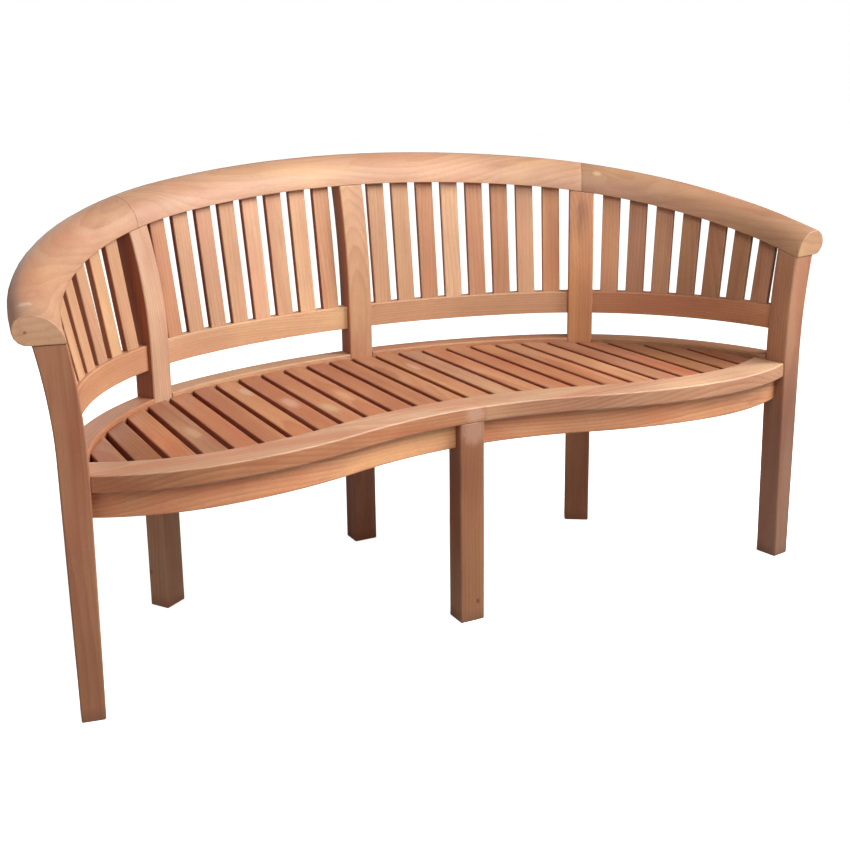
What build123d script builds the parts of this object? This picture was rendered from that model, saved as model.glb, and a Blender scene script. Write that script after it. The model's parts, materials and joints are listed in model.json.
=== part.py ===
from build123d import *
import math
import os

# Curved garden bench in teak, in millimetres, +Z up, front toward -Y.
# The origin is on the ground under the middle of the outline.

# Heights above the ground and above the seat
seat_height = 420
arm_rise = 208
crown_rise = 366
lower_rail_rise = 112
back_post_knee_rise = 90

# Plan of the back, as two radii that meet in a tangent
back_radius = 1062
wing_radius = 531
wing_start_x = 367

# Plan of the seat front, a hollow between two bulges
hollow_radius = 843
bulge_radius = 796
shoulder_radius = 386
wave_angle = 18
shoulder_angle = 50

# How far the front reaches beyond the arm posts
front_reach = 69

# Where the posts stand, as turns round the back
back_post_turn = 33.7
arm_post_turn = 80.4
arm_tip_turn = 85

# Back posts
back_post_width = 53
back_post_depth = 44

# Arm posts
arm_post_thickness = 47
arm_post_width = 48
arm_post_top_width = 53
arm_post_foot_width = 40

# Centre leg
center_leg_width = 51
center_leg_depth = 44

# Top rail, and how far its inner edge lies outside the seat's back
crown_rail_height = 61
arm_rail_height = 49
crown_lean = 35
arm_lean = 19
arm_tuck_power = 6
top_rail_width = 81
top_rail_crest = 59
top_rail_brow = 15
top_rail_brow_share = 0.64
top_rail_seat = 53
top_rail_nose_share = 0.55
rail_facets = 8
middle_rail_section_count = 25
end_rail_section_count = 15
rail_end_overrun = 2

# Lower back rails
lower_rail_height = 48
lower_rail_thickness = 24

# Back slats
back_slat_width = 38
back_slat_thickness = 12
back_slat_housing = 9
back_slat_ease = 1.5
wing_slat_count = 7
center_slat_count = 8

# Back seat rails and the ledgers that carry the slats
back_seat_rail_rise = 9
back_seat_rail_height = 87
ledger_width = 20
ledger_height = 25

# Front seat rail and the aprons under it
front_rail_width = 68
front_rail_height = 29
front_ledge_width = 14
front_joint_x = 29
apron_setback = 17
apron_thickness = 22
apron_height = 48

# Seat slats
seat_slat_pitch = 55
seat_slat_width = 44
seat_slat_thickness = 16
seat_slat_count = 25
seat_slat_ease = 1.5

# Seat bearers under the slats
bearer_width = 30
bearer_depth = 34
side_bearer_slat = 7

# Joinery
fit = 0.2
seat_fit = 0.7
tenon_length = 18
front_tenon_length = 20
stub_tenon_length = 8
tenon_shoulder = 8
post_tenon_height = 24
post_tenon_width = 30
post_tenon_thickness = 24
peg_radius = 4
peg_length = 34
screw_radius = 2
screw_head_radius = 4
screw_head_height = 3
screw_length = 38
screw_shares = (0.25, 0.75)
dowel_side_count = 6
edge_ease = 2

# Cutting room beyond the object
room = 900

# Derived places
arm_height = seat_height + arm_rise
crown_height = seat_height + crown_rise
lower_rail_top = seat_height + lower_rail_rise
back_post_knee_height = seat_height + back_post_knee_rise
center_turn = math.degrees(math.asin(wing_start_x / back_radius))
wing_offset = back_radius - wing_radius
wing_setback = wing_offset * math.cos(math.radians(center_turn))
arm_post_reach = back_radius - wing_setback - wing_radius * math.cos(math.radians(arm_post_turn))
overall_depth = front_reach + arm_post_reach + crown_lean + top_rail_width
back_face_y = overall_depth / 2 - top_rail_width - crown_lean
front_tip_y = -overall_depth / 2
wing_center_x = wing_offset * math.sin(math.radians(center_turn))
wing_center_y = back_face_y - back_radius + wing_setback
slat_bottom = seat_height - seat_slat_thickness
front_rail_bottom = seat_height - front_rail_height
back_seat_rail_top = seat_height + back_seat_rail_rise
back_seat_rail_bottom = back_seat_rail_top - back_seat_rail_height
lower_rail_bottom = lower_rail_top - lower_rail_height
lower_rail_inner = (back_post_depth - lower_rail_thickness) / 2
apron_bottom = front_rail_bottom - apron_height
bearer_top = slat_bottom - ledger_height
bearer_bottom = bearer_top - bearer_depth

# The front curve's three arcs share tangents at their joints
front_inner_tip_y = front_tip_y + front_rail_width
bulge_x = (hollow_radius + bulge_radius) * math.sin(math.radians(wave_angle))
bulge_center_y = front_inner_tip_y + bulge_radius
hollow_center_y = bulge_center_y - (hollow_radius + bulge_radius) * math.cos(math.radians(wave_angle))
shoulder_center_y = front_inner_tip_y + shoulder_radius
front_middle_y = hollow_center_y + hollow_radius - front_rail_width
center_leg_y = front_middle_y + center_leg_depth / 2


def outward(turn):
    """Unit vector that points out of the back at this turn."""
    angle = math.radians(turn)
    return Vector(math.sin(angle), math.cos(angle), 0)


def back_point(turn, offset):
    """Plan point on the back's inner face, moved outward by offset."""
    side = -1 if turn < 0 else 1
    if abs(turn) <= center_turn:
        center = Vector(0, back_face_y - back_radius)
        radius = back_radius
    else:
        center = Vector(side * wing_center_x, wing_center_y)
        radius = wing_radius
    return center + outward(turn) * (radius + offset)


def back_length(turn):
    """Length along the back's inner face from the middle to this turn."""
    angle = math.radians(min(abs(turn), center_turn))
    extra = math.radians(max(abs(turn) - center_turn, 0))
    return math.copysign(back_radius * angle + wing_radius * extra, turn)


def back_turn(length):
    """Turn at this length along the back's inner face."""
    limit = back_radius * math.radians(center_turn)
    inner = math.degrees(min(abs(length), limit) / back_radius)
    extra = math.degrees(max(abs(length) - limit, 0) / wing_radius)
    return math.copysign(inner + extra, length)


def back_edges(turn_a, turn_b, offset):
    """Arcs along the back from turn_a to turn_b."""
    inside = [turn for turn in (-center_turn, center_turn) if turn_a < turn < turn_b]
    stops = [turn_a] + inside + [turn_b]
    return [
        ThreePointArc(back_point(a, offset), back_point((a + b) / 2, offset), back_point(b, offset))
        for a, b in zip(stops, stops[1:])
    ]


def front_point(arc, angle, offset):
    """Plan point on the right half of the front curve, moved forward by offset."""
    rad = math.radians(angle)
    if arc == "hollow":
        radius = hollow_radius - offset
        return Vector(radius * math.sin(rad), hollow_center_y + radius * math.cos(rad))
    if arc == "bulge":
        radius = bulge_radius + offset
        return Vector(bulge_x - radius * math.sin(rad), bulge_center_y - radius * math.cos(rad))
    radius = shoulder_radius + offset
    return Vector(bulge_x + radius * math.sin(rad), shoulder_center_y - radius * math.cos(rad))


def front_edges(offset, side):
    """Arcs of one half of the front curve, from the middle outward."""
    spans = (
        ("hollow", 0, wave_angle),
        ("bulge", wave_angle, 0),
        ("shoulder", 0, shoulder_angle),
    )
    edges = []
    for arc, a, b in spans:
        points = [front_point(arc, angle, offset) for angle in (a, (a + b) / 2, b)]
        edges.append(ThreePointArc(*[Vector(side * p.X, p.Y) for p in points]))
    return edges


def prism(edges, bottom, top):
    """Upright solid over a closed plan outline."""
    return Pos(0, 0, bottom) * extrude(make_face(edges), amount=top - bottom, dir=(0, 0, 1))


def band(near, far, bottom, top):
    """Upright curved board between two rows of plan arcs."""
    caps = [Line(near[0] @ 0, far[0] @ 0), Line(near[-1] @ 1, far[-1] @ 1)]
    return prism(near + far + caps, bottom, top)


def back_band(turn_a, turn_b, inner, outer, bottom, top):
    """Curved board that follows the back."""
    return band(back_edges(turn_a, turn_b, inner), back_edges(turn_a, turn_b, outer), bottom, top)


def front_band(side, inner, outer, bottom, top):
    """Curved board that follows one half of the seat front."""
    return band(front_edges(inner, side), front_edges(outer, side), bottom, top)


def front_arcs(board, offset):
    """Edges of a front board that run along the front curve at this offset."""
    radii = (hollow_radius - offset, bulge_radius + offset, shoulder_radius + offset)
    arcs = board.edges().filter_by(GeomType.CIRCLE)
    return ShapeList(arc for arc in arcs if min(abs(arc.radius - radius) for radius in radii) < fit)


def inside_back(offset, bottom, top):
    """All space within the back's inner face, open toward the front."""
    arcs = back_edges(-arm_post_turn, arm_post_turn, offset)
    corners = [arcs[0] @ 0]
    ahead = Vector(-outward(-arm_post_turn).Y, outward(-arm_post_turn).X)
    corners.append(corners[0] + ahead * room)
    corners.append(Vector(-corners[1].X, corners[1].Y))
    corners.append(arcs[-1] @ 1)
    sides = [Line(a, b) for a, b in zip(corners, corners[1:])]
    return prism(arcs + sides, bottom, top)


def behind_front(offset, bottom, top):
    """All space behind the seat's front curve."""
    right = front_edges(offset, 1)
    left = front_edges(offset, -1)
    ends = [left[-1] @ 1, right[-1] @ 1]
    corners = [ends[0], Vector(-room, ends[0].Y), Vector(-room, room), Vector(room, room)]
    corners += [Vector(room, ends[1].Y), ends[1]]
    sides = [Line(a, b) for a, b in zip(corners, corners[1:])]
    return prism(left + right + sides, bottom, top)


def post_plane(turn):
    """Plane of a post's profile: x outward from the seat, y up."""
    out = outward(turn)
    return Plane(origin=back_point(turn, 0), x_dir=out, z_dir=Vector(out.Y, -out.X, 0))


def post_block(turn, width, bottom, top):
    """Upright block of this width across the whole back at a post."""
    place = post_plane(turn) * Pos(0, (bottom + top) / 2, 0)
    return place * Box(room / 2, top - bottom, width)


def climb_share(turn):
    """How far the top rail has climbed from the arms, 0, to the crown, 1."""
    low = back_point(arm_tip_turn, 0).Y
    return (back_point(turn, 0).Y - low) / (back_face_y - low)


def rail_height(turn):
    """Height of the top rail's underside."""
    return arm_height + (crown_height - arm_height) * climb_share(turn)


def rail_lean(turn):
    """How far the top rail's inner edge lies outside the seat's back."""
    share = min(abs(turn) / arm_post_turn, 1)
    return crown_lean + (arm_lean - crown_lean) * share**arm_tuck_power


def rail_slope(turn):
    """Rise of the top rail per unit of its length, toward larger turns."""
    step = math.radians(1)
    lean = rail_lean(turn)
    run = (back_point(turn + step, lean) - back_point(turn - step, lean)).length
    return (rail_height(turn + step) - rail_height(turn - step)) / run


def over_post(turn, lift):
    """Everything above the top rail's underside at a post, raised by lift."""
    out = outward(turn)
    along = Vector(out.Y, -out.X, rail_slope(turn))
    seat = back_point(turn, rail_lean(turn)) + Vector(0, 0, rail_height(turn) + lift)
    plane = Plane(origin=seat, x_dir=out, z_dir=along.cross(out) * -1)
    if plane.z_dir.Z < 0:
        plane = Plane(origin=seat, x_dir=out, z_dir=along.cross(out))
    return plane * Pos(0, 0, room / 2) * Box(room, room, room)


def rail_section(turn):
    """Loaf section: flat underside, sloping round inside, overhanging nose outside."""
    out = outward(turn)
    origin = back_point(turn, rail_lean(turn)) + Vector(0, 0, rail_height(turn))
    plane = Plane(origin=origin, x_dir=out, z_dir=Vector(out.Y, -out.X, 0))
    height = arm_rail_height + (crown_rail_height - arm_rail_height) * climb_share(turn)
    crest = (top_rail_crest, height)
    inner = ThreePointArc((0, 0), (top_rail_brow, top_rail_brow_share * height), crest)
    nose = ThreePointArc(crest, (top_rail_width, top_rail_nose_share * height), (top_rail_seat, 0))
    points = [arc @ (i / rail_facets) for arc in (inner, nose) for i in range(rail_facets)]
    return plane * make_face(Polyline(*points, (top_rail_seat, 0), close=True))


def rail_blank(turn_a, turn_b, count):
    """Length of top rail, shaped in short facets through evenly spaced sections."""
    step = (turn_b - turn_a) / (count - 1)
    return loft([rail_section(turn_a + step * i) for i in range(count)], ruled=True)


def post_tenon(turn, depth, grow):
    """Tenon on top of a post, or its mortise when grown."""
    lean = rail_lean(turn)
    top = rail_height(turn) + post_tenon_height + grow
    bottom = rail_height(turn) - post_tenon_height
    place = post_plane(turn) * Pos(lean + depth / 2, (top + bottom) / 2, 0)
    return place * Box(post_tenon_thickness + 2 * grow, top - bottom, post_tenon_width + 2 * grow)


def post_blank(turn, outline, width):
    """Post sawn to its profile, with its long edges and its foot eased."""
    face = post_plane(turn) * make_face(outline)
    blank = extrude(face, amount=width / 2, both=True)
    across = Axis(back_point(turn, 0), post_plane(turn).z_dir)
    sides = blank.faces().sort_by(across)
    eased = sides[0].edges() + sides[-1].edges() + blank.edges().group_by(Axis.Z)[0]
    return chamfer(eased, edge_ease)


def back_post(turn):
    """Back post: upright to the lower rail, then swept back to the top rail."""
    lean = rail_lean(turn)
    top = rail_height(turn)
    above = top + back_post_width
    knee = back_post_knee_height
    depth = back_post_depth
    outline = [
        Line((0, 0), (0, knee)),
        TangentArc((0, knee), (lean, top), tangent=(0, 1)),
        Line((lean, top), (lean, above)),
        Line((lean, above), (lean + depth, above)),
        Line((lean + depth, above), (lean + depth, top)),
        TangentArc((depth, knee), (lean + depth, top), tangent=(0, 1)),
        Line((depth, knee), (depth, 0)),
        Line((depth, 0), (0, 0)),
    ]
    blank = post_blank(turn, outline, back_post_width)
    return blank - over_post(turn, -seat_fit) + post_tenon(turn, depth, 0)


def arm_post(turn):
    """Arm post: tapered leg below the seat, swept outward to the arm above it."""
    top = rail_height(turn)
    above = top + arm_post_thickness
    knee = seat_height
    foot_in = (arm_post_width - arm_post_foot_width) / 2
    foot_out = foot_in + arm_post_foot_width
    wide = arm_lean + arm_post_top_width
    outline = [
        Line((foot_in, 0), (0, knee)),
        TangentArc((0, knee), (arm_lean, top), tangent=(0, 1)),
        Line((arm_lean, top), (arm_lean, above)),
        Line((arm_lean, above), (wide, above)),
        Line((wide, above), (wide, top)),
        TangentArc((arm_post_width, knee), (wide, top), tangent=(0, 1)),
        Line((arm_post_width, knee), (foot_out, 0)),
        Line((foot_out, 0), (foot_in, 0)),
    ]
    blank = post_blank(turn, outline, arm_post_thickness)
    return blank - over_post(turn, -seat_fit) + post_tenon(turn, arm_post_top_width, 0)


def rail_tenon(turn, side, inner, outer, bottom, top, grow):
    """Straight tenon that enters a post from one side, or its mortise when grown."""
    length = tenon_length + tenon_shoulder + grow
    middle = side * (post_widths[turn] / 2 + tenon_shoulder - length / 2)
    place = post_plane(turn) * Pos((inner + outer) / 2, (bottom + top) / 2, middle)
    return place * Box(outer - inner + 2 * grow, top - bottom + 2 * grow, length)


def between_posts(turn_a, turn_b, inner, outer, bottom, top):
    """Curved rail that fills the space between two posts, its top edges eased."""
    rail = back_band(turn_a, turn_b, inner, outer, bottom, top)
    rail = chamfer(rail.edges().filter_by(GeomType.CIRCLE).group_by(Axis.Z)[-1], edge_ease)
    for turn in (turn_a, turn_b):
        rail -= post_block(turn, post_widths[turn] + 2 * fit, bottom - room / 2, top + room / 2)
    return rail


def slat_turns(turn_a, turn_b, count):
    """Turns of back slats that are evenly spaced between two posts."""
    start = back_length(turn_a) + post_widths[turn_a] / 2
    end = back_length(turn_b) - post_widths[turn_b] / 2
    gap = (end - start - count * back_slat_width) / (count + 1)
    first = start + gap + back_slat_width / 2
    return [back_turn(first + i * (gap + back_slat_width)) for i in range(count)]


def back_slat(turn, grow):
    """One leaning back slat, or its housings when grown."""
    middle = back_post_depth / 2
    foot = Vector(middle, lower_rail_top)
    head = Vector(middle + rail_lean(turn), rail_height(turn))
    run = head - foot
    length = run.length + 2 * back_slat_housing + 2 * grow
    angle = math.degrees(math.atan2(run.X, run.Y))
    slat = Box(back_slat_thickness + 2 * grow, length, back_slat_width + 2 * grow)
    if grow == 0:
        slat = chamfer(slat.edges().filter_by(Axis.Y), back_slat_ease)
    return post_plane(turn) * Pos(*((foot + head) / 2)) * Rot(0, 0, -angle) * slat


def seat_slat(x):
    """One seat slat, cut to the front rail and to the back."""
    blank = Pos(x, 0, (slat_bottom + seat_height) / 2)
    blank *= Box(seat_slat_width, overall_depth + room, seat_slat_thickness)
    blank = (blank & slat_space).solids().sort_by(SortBy.VOLUME)[-1]
    top_edges = blank.edges().filter_by(Axis.Y).group_by(Axis.Z)[-1]
    return chamfer(top_edges, seat_slat_ease)


def bearer_bar(x, width, bottom, top):
    """Straight bar under the slats, from front to back."""
    return Pos(x, 0, (bottom + top) / 2) * Box(width, overall_depth + room, top - bottom)


def seat_bearer(x):
    """Bearer whose upper half fits between the ledges that carry the slats."""
    low = bearer_bar(x, bearer_width, bearer_bottom, bearer_top - fit)
    low = low & behind_front(apron_back - fit, bearer_bottom - fit, bearer_top + fit)
    low = low & inside_back(-fit, bearer_bottom - fit, bearer_top + fit)
    high = bearer_bar(x, bearer_width, bearer_top - fit, slat_bottom)
    high = high & behind_front(-front_ledge_width - fit, bearer_top - edge_ease, slat_bottom + fit)
    high = high & inside_back(-ledger_width - fit, bearer_top - edge_ease, slat_bottom + fit)
    return low + high


def bearer_stub(x, reach_front, reach_back, grow):
    """Stub tenons at both ends of a bearer, or their mortises when grown."""
    width = bearer_width - 2 * tenon_shoulder + 2 * grow
    low = bearer_bottom + tenon_shoulder - grow
    high = bearer_top - tenon_shoulder + grow
    bar = bearer_bar(x, width, low, high)
    bar = bar & behind_front(reach_front + grow, low - fit, high + fit)
    return bar & inside_back(reach_back + grow, low - fit, high + fit)


# Space that the seat slats fill, between the front rail and the back
slat_space = behind_front(-fit, slat_bottom - room / 2, seat_height + room / 2)
slat_space = slat_space & inside_back(-fit, slat_bottom - room / 2, seat_height + room / 2)

# Which width each post shows to the rails beside it
post_widths = {0: back_post_width}
for side in (-1, 1):
    post_widths[side * back_post_turn] = back_post_width
    post_widths[side * arm_post_turn] = arm_post_thickness

post_turns = sorted(post_widths)
bays = list(zip(post_turns, post_turns[1:]))
bay_names = ["left_wing", "left_center", "right_center", "right_wing"]
bay_counts = [wing_slat_count, center_slat_count, center_slat_count, wing_slat_count]

# Tenons of the seat rails and of the lower back rails
seat_tenon_inner = back_post_depth / 2 + edge_ease
seat_tenon_outer = back_post_depth - tenon_shoulder
lower_tenon_inner = lower_rail_inner + tenon_shoulder - edge_ease
lower_tenon_outer = lower_rail_inner + lower_rail_thickness - tenon_shoulder + edge_ease
apron_front = front_rail_width - apron_setback
apron_back = apron_front - apron_thickness

parts = {}

# Posts before their sockets are cut
parts["left_arm_post"] = arm_post(-arm_post_turn)
parts["left_back_post"] = back_post(-back_post_turn)
parts["center_back_post"] = back_post(0)
parts["right_back_post"] = back_post(back_post_turn)
parts["right_arm_post"] = arm_post(arm_post_turn)
post_names = dict(zip(post_turns, list(parts)))

# Rails and slats between the posts
seat_tenon = (
    seat_tenon_inner,
    seat_tenon_outer,
    back_seat_rail_bottom + tenon_shoulder,
    back_seat_rail_top - tenon_shoulder,
)
lower_tenon = (
    lower_tenon_inner,
    lower_tenon_outer,
    lower_rail_bottom + tenon_shoulder,
    lower_rail_top - tenon_shoulder,
)
bay_slat_turns = {}
for (turn_a, turn_b), name, count in zip(bays, bay_names, bay_counts):
    seat_rail = between_posts(
        turn_a, turn_b, 0, back_post_depth, back_seat_rail_bottom, back_seat_rail_top
    )
    lower_outer = lower_rail_inner + lower_rail_thickness
    lower_rail = between_posts(
        turn_a, turn_b, lower_rail_inner, lower_outer, lower_rail_bottom, lower_rail_top
    )
    for turn, side in ((turn_a, 1), (turn_b, -1)):
        seat_rail += rail_tenon(turn, side, *seat_tenon, 0)
        lower_rail += rail_tenon(turn, side, *lower_tenon, 0)
        parts[post_names[turn]] -= rail_tenon(turn, side, *seat_tenon, fit)
        parts[post_names[turn]] -= rail_tenon(turn, side, *lower_tenon, fit)
    turns = slat_turns(turn_a, turn_b, count)
    bay_slat_turns[name] = turns
    for turn in turns:
        lower_rail -= back_slat(turn, fit)
    parts["back_seat_rail_" + name] = seat_rail
    parts["lower_back_rail_" + name] = lower_rail
    parts["back_slats_" + name] = Compound(children=[back_slat(turn, 0) for turn in turns])

# Top rail in three lengths that meet over the outer back posts
rails = {
    "top_rail_left": rail_blank(-arm_tip_turn, -back_post_turn, end_rail_section_count),
    "top_rail_center": rail_blank(-back_post_turn, back_post_turn, middle_rail_section_count),
    "top_rail_right": rail_blank(back_post_turn, arm_tip_turn, end_rail_section_count),
}
for side, name in ((-1, "top_rail_left"), (1, "top_rail_right")):
    reach = arm_post_thickness / 2 + rail_end_overrun
    beyond = post_plane(side * arm_post_turn) * Pos(0, 0, side * (reach + room / 2))
    rails[name] -= beyond * Box(room, 3 * room, room)
for name in rails:
    for turn in post_turns:
        depth = arm_post_top_width if abs(turn) == arm_post_turn else back_post_depth
        rails[name] -= post_tenon(turn, depth, fit)
for bay, turns in bay_slat_turns.items():
    name = {"left_wing": "top_rail_left", "right_wing": "top_rail_right"}.get(bay, "top_rail_center")
    for turn in turns:
        rails[name] -= back_slat(turn, fit)
parts.update(rails)

# Ledgers along the back, cut clear of the front rail
front_clear = behind_front(-front_ledge_width - fit, 0, seat_height + room)
for (turn_a, turn_b), name in zip(bays, bay_names):
    ledger = back_band(turn_a, turn_b, -ledger_width, 0, slat_bottom - ledger_height, slat_bottom)
    parts["seat_ledger_" + name] = ledger & front_clear

# Centre leg, with a tenon up into the front rail
leg = Box(center_leg_width, center_leg_depth, front_rail_bottom)
leg = Pos(0, center_leg_y, front_rail_bottom / 2) * leg
leg = chamfer(leg.edges().filter_by(Axis.Z) + leg.edges().group_by(Axis.Z)[0], edge_ease)
leg_tenon_height = front_rail_height / 2


def leg_tenon(grow):
    """Tenon on top of the centre leg, or its mortise when grown."""
    top = front_rail_bottom + leg_tenon_height + grow
    place = Pos(0, center_leg_y, (top + front_rail_bottom) / 2)
    size = center_leg_depth / 2 + 2 * grow
    return place * Box(size, size, top - front_rail_bottom)


leg += leg_tenon(0)

# Front rail in two lengths, and an apron under each
seat_space = inside_back(-fit, 0, seat_height + room)
tenon_space = inside_back(front_tenon_length, 0, seat_height + room)
socket_space = inside_back(front_tenon_length + fit, 0, seat_height + room)
rail_tenon_low = front_rail_bottom + tenon_shoulder
rail_tenon_high = seat_height - tenon_shoulder
apron_tenon_low = apron_bottom + tenon_shoulder
apron_tenon_high = front_rail_bottom - tenon_shoulder
rail_tenon_inner = front_rail_width / 2 + tenon_shoulder
rail_tenon_outer = front_rail_width - tenon_shoulder
apron_tenon_inner = apron_back + tenon_shoulder - edge_ease
apron_tenon_outer = apron_front - tenon_shoulder + edge_ease


def dowel(radius, start, end):
    """Six-sided rod along Z, from start to end."""
    return Pos(0, 0, start) * extrude(RegularPolygon(radius, dowel_side_count), amount=end - start)


def half_space(x, side):
    """Everything on one side of an upright plane across the bench."""
    return Pos(x + side * room, 0, 0) * Box(2 * room, 4 * room, 4 * room)


def front_rail_board(side):
    """Half of the front rail, with a ledge for the slats and its front edges eased."""
    lower = front_band(side, -front_ledge_width, front_rail_width, front_rail_bottom, slat_bottom)
    lower = chamfer(front_arcs(lower, front_rail_width).group_by(Axis.Z)[0], edge_ease)
    upper = front_band(side, 0, front_rail_width, slat_bottom, seat_height)
    upper = chamfer(front_arcs(upper, front_rail_width).group_by(Axis.Z)[-1], edge_ease)
    return lower + upper


for side, name in ((-1, "left"), (1, "right")):
    rail = front_rail_board(side) & seat_space
    tongue = front_band(side, rail_tenon_inner, rail_tenon_outer, rail_tenon_low, rail_tenon_high)
    rail = rail + (tongue & tenon_space)
    if side < 0:
        rail = rail + (front_rail_board(1) & half_space(front_joint_x, -1))
        rail -= leg_tenon(fit)
    else:
        rail = rail & half_space(front_joint_x, 1)
    parts["front_seat_rail_" + name] = rail

    apron = front_band(side, apron_back, apron_front, apron_bottom, front_rail_bottom)
    apron = chamfer(apron.edges().filter_by(GeomType.CIRCLE).group_by(Axis.Z)[0], edge_ease)
    apron = apron & seat_space & half_space(side * (center_leg_width / 2 + fit), side)
    tongue = front_band(side, apron_tenon_inner, apron_tenon_outer, apron_tenon_low, apron_tenon_high)
    tongue = tongue & tenon_space & half_space(side * (center_leg_width / 2 - tenon_length), side)
    parts["front_apron_" + name] = apron + tongue

    post = name + "_arm_post"
    socket = front_band(
        side,
        rail_tenon_inner - fit,
        rail_tenon_outer + fit,
        rail_tenon_low - fit,
        rail_tenon_high + fit,
    )
    parts[post] -= socket & socket_space
    socket = front_band(
        side,
        apron_tenon_inner - fit,
        apron_tenon_outer + fit,
        apron_tenon_low - fit,
        apron_tenon_high + fit,
    )
    parts[post] -= socket & socket_space
    leg -= socket & half_space(side * (center_leg_width / 2 - tenon_length - fit), side)

# Seat bearers: one between the centre leg and post, one near each outer back post
side_bearer_x = side_bearer_slat * seat_slat_pitch
bearer_front_y = center_leg_y + center_leg_depth / 2
behind_leg = Pos(0, bearer_front_y + fit + room, 0) * Box(room, 2 * room, 2 * room)
middle_bearer = seat_bearer(0) & behind_leg
middle_width = bearer_width - 2 * tenon_shoulder
middle_low = bearer_bottom + tenon_shoulder
middle_high = bearer_top - tenon_shoulder


def middle_tenon(grow):
    """Tongue of the middle bearer, from the centre leg to the centre post."""
    front = bearer_front_y - tenon_length - grow
    back = back_face_y + tenon_length + grow
    place = Pos(0, (front + back) / 2, (middle_low + middle_high) / 2)
    return place * Box(middle_width + 2 * grow, back - front, middle_high - middle_low + 2 * grow)


parts["seat_bearer_center"] = middle_bearer + middle_tenon(0)
leg -= middle_tenon(fit)
parts["center_back_post"] -= middle_tenon(fit)
parts["center_front_leg"] = leg
for side, name in ((-1, "left"), (1, "right")):
    x = side * side_bearer_x
    reach_front = apron_back + stub_tenon_length
    parts["seat_bearer_" + name] = seat_bearer(x) + bearer_stub(x, reach_front, stub_tenon_length, 0)
    socket = bearer_stub(x, reach_front, stub_tenon_length, fit)
    parts["front_apron_" + name] -= socket
    parts["back_seat_rail_" + name + "_center"] -= socket

# Seat slats, numbered from left to right
for i in range(seat_slat_count):
    place = (i - (seat_slat_count - 1) / 2) * seat_slat_pitch
    parts["seat_slat_" + str(i + 1).zfill(2)] = seat_slat(place)

# Hardwood pegs that lock the seat rail tenons from behind
peg_height = (back_seat_rail_bottom + back_seat_rail_top) / 2
pegs = []
for turn in (-back_post_turn, 0, back_post_turn):
    for side in (-1, 1):
        across = side * (back_post_width - tenon_length) / 2
        for grow in (0, fit):
            reach = peg_length + grow
            place = post_plane(turn) * Pos(back_post_depth, peg_height, across) * Rot(0, 90, 0)
            peg = place * dowel(peg_radius + grow, -reach, 0)
            if grow == 0:
                pegs.append(peg)
            else:
                for name in list(parts):
                    if name == post_names[turn] or name.startswith("back_seat_rail"):
                        parts[name] -= peg
parts["joint_pegs"] = Compound(children=pegs)

# Brass screws that hold the ledgers to the back seat rails
screws = []
for (turn_a, turn_b), name in zip(bays, bay_names):
    for share in screw_shares:
        turn = back_turn(back_length(turn_a) + share * (back_length(turn_b) - back_length(turn_a)))
        height = slat_bottom - ledger_height / 2
        place = post_plane(turn) * Pos(-ledger_width, height, 0) * Rot(0, 90, 0)
        shank = dowel(screw_radius, 0, screw_length)
        screw = place * (shank + dowel(screw_head_radius, 0, screw_head_height))
        parts["seat_ledger_" + name] -= screw
        parts["back_seat_rail_" + name] -= screw
        screws.append(screw)
parts["ledger_screws"] = Compound(children=screws)

os.makedirs("parts", exist_ok=True)
for name, shape in parts.items():
    shape.label = name
    export_step(shape, "parts/" + name + ".step")
    box = shape.bounding_box()
    print(name, len(shape.solids()), round(shape.volume), box.min, box.max)
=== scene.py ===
"""Looks of a curved teak garden bench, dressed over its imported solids.

The solids carry every shape. This script turns the top rail into one smooth
worked surface, gives each board its own sawn teak, and lights the bench.
"""

import json
import logging
import math
from dataclasses import dataclass, field, replace
from enum import Enum
from typing import Any, Sequence

import bmesh
import bpy
from mathutils import Matrix, Vector

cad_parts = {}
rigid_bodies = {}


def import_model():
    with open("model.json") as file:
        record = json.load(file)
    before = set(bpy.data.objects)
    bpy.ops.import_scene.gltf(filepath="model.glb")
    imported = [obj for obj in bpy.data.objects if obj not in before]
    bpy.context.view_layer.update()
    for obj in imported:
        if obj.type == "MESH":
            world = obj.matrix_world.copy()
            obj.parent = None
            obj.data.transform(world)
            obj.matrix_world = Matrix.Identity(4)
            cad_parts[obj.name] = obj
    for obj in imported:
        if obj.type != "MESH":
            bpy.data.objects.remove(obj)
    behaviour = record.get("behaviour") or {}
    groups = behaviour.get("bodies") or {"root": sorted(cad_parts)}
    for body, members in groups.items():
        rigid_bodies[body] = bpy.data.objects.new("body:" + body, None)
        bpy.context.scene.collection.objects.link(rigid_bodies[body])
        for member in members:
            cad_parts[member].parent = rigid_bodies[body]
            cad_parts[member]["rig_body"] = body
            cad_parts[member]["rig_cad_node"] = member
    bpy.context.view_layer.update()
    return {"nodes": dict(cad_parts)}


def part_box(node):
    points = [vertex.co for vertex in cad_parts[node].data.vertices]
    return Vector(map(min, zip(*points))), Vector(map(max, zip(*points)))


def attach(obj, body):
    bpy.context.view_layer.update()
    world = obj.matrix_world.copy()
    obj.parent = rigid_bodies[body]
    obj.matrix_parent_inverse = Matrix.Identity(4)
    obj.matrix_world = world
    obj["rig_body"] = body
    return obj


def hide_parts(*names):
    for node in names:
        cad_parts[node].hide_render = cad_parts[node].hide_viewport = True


Colour = tuple[float, float, float, float]
Triple = tuple[float, float, float]
Pair = tuple[float, float]
Sockets = dict[str, tuple[str, ...]]
NUMBER, COLOUR, PLACE = "NodeSocketFloat", "NodeSocketColor", "NodeSocketVector"
FIGURE = ("Rings", "Fibre", "Pores", "Streaks", "Drift")
WOOD = ("Sapwood", "Heartwood", "Streak", "Straw", "Rose")
SEED_STEPS = (3.17, 1.71, 2.39)  # how far a board's seed shifts its figure along each axis
ROLL_OFFSET = 7.0  # sets the pith's two wanderings apart
SWIRL_SHAPE = (0.45, 1.0, 1.0)
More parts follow.
